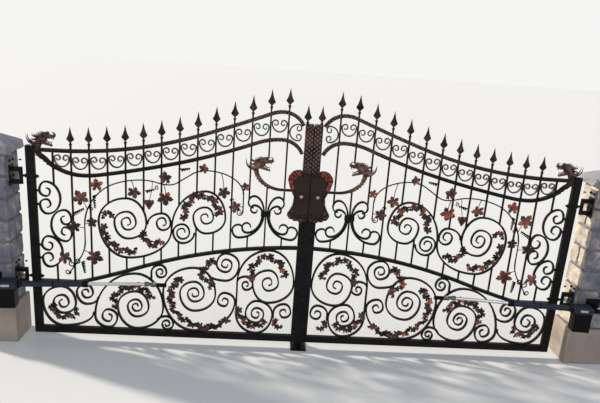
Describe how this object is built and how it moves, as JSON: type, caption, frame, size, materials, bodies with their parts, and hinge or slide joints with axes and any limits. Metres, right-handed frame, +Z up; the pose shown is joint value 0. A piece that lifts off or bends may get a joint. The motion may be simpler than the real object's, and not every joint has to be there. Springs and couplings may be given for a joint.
{
  "type": "wrought iron driveway gate",
  "caption": "Two-leaf wrought iron driveway gate with scrolls, spear finials, dragon heads and a vine, hung between stone piers, with a linear operator on each leaf.",
  "frame": {"origin": "on the ground at the middle of the driveway, under the closed leaves, at the centre of the stop plate's underside", "axes": "+X along the closed gate to the viewer's right, +Y away from the side that the leaves open to, +Z up"},
  "size_m": [5.09, 0.3985, 1.9984],
  "materials": {
    "black_paint": "satin",
    "copper_patina": "satin",
    "split_stone": "matte",
    "cap_stone": "matte",
    "operator_paint": "satin",
    "dark_steel": "satin",
    "bright_steel": "polished"
  },
  "bodies": {
    "root": {"ground_stop": "dark_steel", "left_pier": "split_stone", "left_pier_cap": "cap_stone", "left_hinge_pins": "black_paint", "left_operator_bracket": "dark_steel", "right_pier": "split_stone", "right_pier_cap": "cap_stone", "right_hinge_pins": "black_paint", "right_operator_bracket": "dark_steel"},
    "left_leaf": {"left_hinge_stile": "black_paint", "left_meeting_stile": "black_paint", "left_bottom_rail": "black_paint", "left_mid_rail": "black_paint", "left_upper_crest_rail": "black_paint", "left_lower_crest_rail": "black_paint", "left_pickets": "black_paint", "left_finials": "black_paint", "left_crest_scrolls": "black_paint", "left_lower_scrolls": "black_paint", "left_upper_scrolls": "black_paint", "left_lyre_scrolls": "black_paint", "left_corner_dragon": "copper_patina", "left_inner_dragon": "copper_patina", "left_lock_shield": "black_paint", "left_vine": "copper_patina", "left_garlands": "copper_patina", "left_hinge_eyes": "black_paint", "left_operator_lug": "black_paint"},
    "left_ram": {"left_operator_housing": "operator_paint", "left_operator_tube": "dark_steel"},
    "left_rod": {"left_operator_rod": "bright_steel", "left_operator_eye": "dark_steel"},
    "right_leaf": {"right_hinge_stile": "black_paint", "right_meeting_stile": "black_paint", "right_bottom_rail": "black_paint", "right_mid_rail": "black_paint", "right_upper_crest_rail": "black_paint", "right_lower_crest_rail": "black_paint", "right_pickets": "black_paint", "right_finials": "black_paint", "right_crest_scrolls": "black_paint", "right_lower_scrolls": "black_paint", "right_upper_scrolls": "black_paint", "right_lyre_scrolls": "black_paint", "right_corner_dragon": "copper_patina", "right_inner_dragon": "copper_patina", "right_lock_shield": "black_paint", "right_vine": "copper_patina", "right_garlands": "copper_patina", "right_hinge_eyes": "black_paint", "right_operator_lug": "black_paint"},
    "right_ram": {"right_operator_housing": "operator_paint", "right_operator_tube": "dark_steel"},
    "right_rod": {"right_operator_rod": "bright_steel", "right_operator_eye": "dark_steel"}
  },
  "joints": [
    {"name": "left_leaf_hinge", "type": "hinge", "parent": "root", "child": "left_leaf", "pos_m": [-2.045, 0, 0.555], "axis": [0, 0, -1], "range_deg": [0, 90]},
    {"name": "left_ram_pivot", "type": "hinge", "parent": "root", "child": "left_ram", "pos_m": [-2.245, -0.165, 0.5], "axis": [0, 0, -1], "range_deg": [0, 85]},
    {"name": "left_rod_slide", "type": "slide", "parent": "left_ram", "child": "left_rod", "axis": [0.9949, 0.1008, 0], "range_m": [-0.357, 0]},
    {"name": "right_leaf_hinge", "type": "hinge", "parent": "root", "child": "right_leaf", "pos_m": [2.045, 0, 0.555], "axis": [0, 0, 1], "range_deg": [0, 90]},
    {"name": "right_ram_pivot", "type": "hinge", "parent": "root", "child": "right_ram", "pos_m": [2.245, -0.165, 0.5], "axis": [0, 0, 1], "range_deg": [0, 85]},
    {"name": "right_rod_slide", "type": "slide", "parent": "right_ram", "child": "right_rod", "axis": [-0.9949, 0.1008, 0], "range_m": [-0.357, 0]}
  ],
  "couplings": [
    {"joint": "left_ram_pivot", "follows": "left_leaf_hinge", "ratio": 0.9418},
    {"joint": "left_rod_slide", "follows": "left_leaf_hinge", "m_per_rad": -0.22685},
    {"joint": "right_ram_pivot", "follows": "right_leaf_hinge", "ratio": 0.9418},
    {"joint": "right_rod_slide", "follows": "right_leaf_hinge", "m_per_rad": -0.22685}
  ]
}
